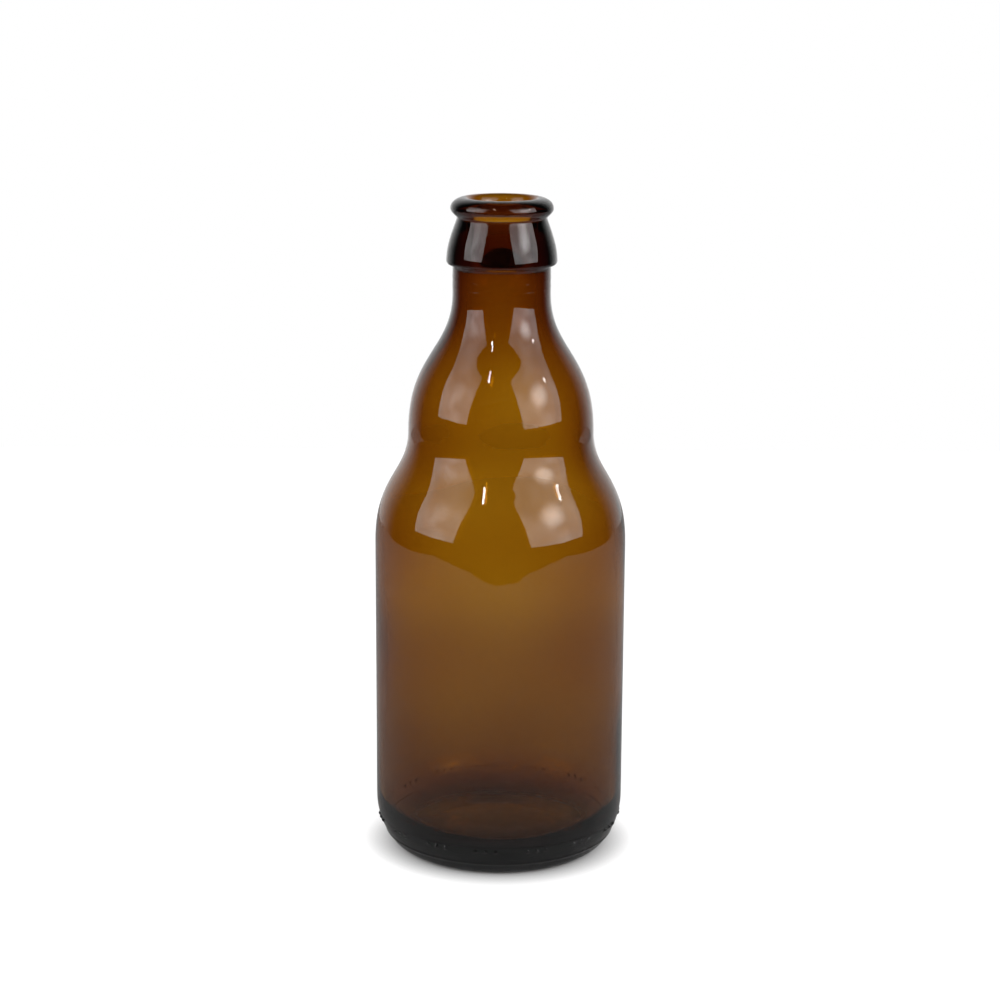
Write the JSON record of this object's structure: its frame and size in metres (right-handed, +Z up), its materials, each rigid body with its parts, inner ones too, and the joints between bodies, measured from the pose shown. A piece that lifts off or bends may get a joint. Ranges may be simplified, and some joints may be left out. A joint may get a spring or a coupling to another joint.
{
  "type": "beer bottle",
  "caption": "Short empty brown glass beer bottle with a stepped shoulder, a narrow neck and an open crown-cork mouth; it stands on a flat ring.",
  "frame": {"origin": "centre of the flat ring that the bottle stands on", "axes": "+Z runs up the axis to the mouth; the bottle is round about Z, so X and Y are alike"},
  "size_m": [0.0665, 0.0664, 0.175],
  "materials": {
    "amber_glass": "smooth clear brown glass, glossy inside and out"
  },
  "bodies": {
    "root": {"bottle": "amber_glass"}
  },
  "joints": []
}
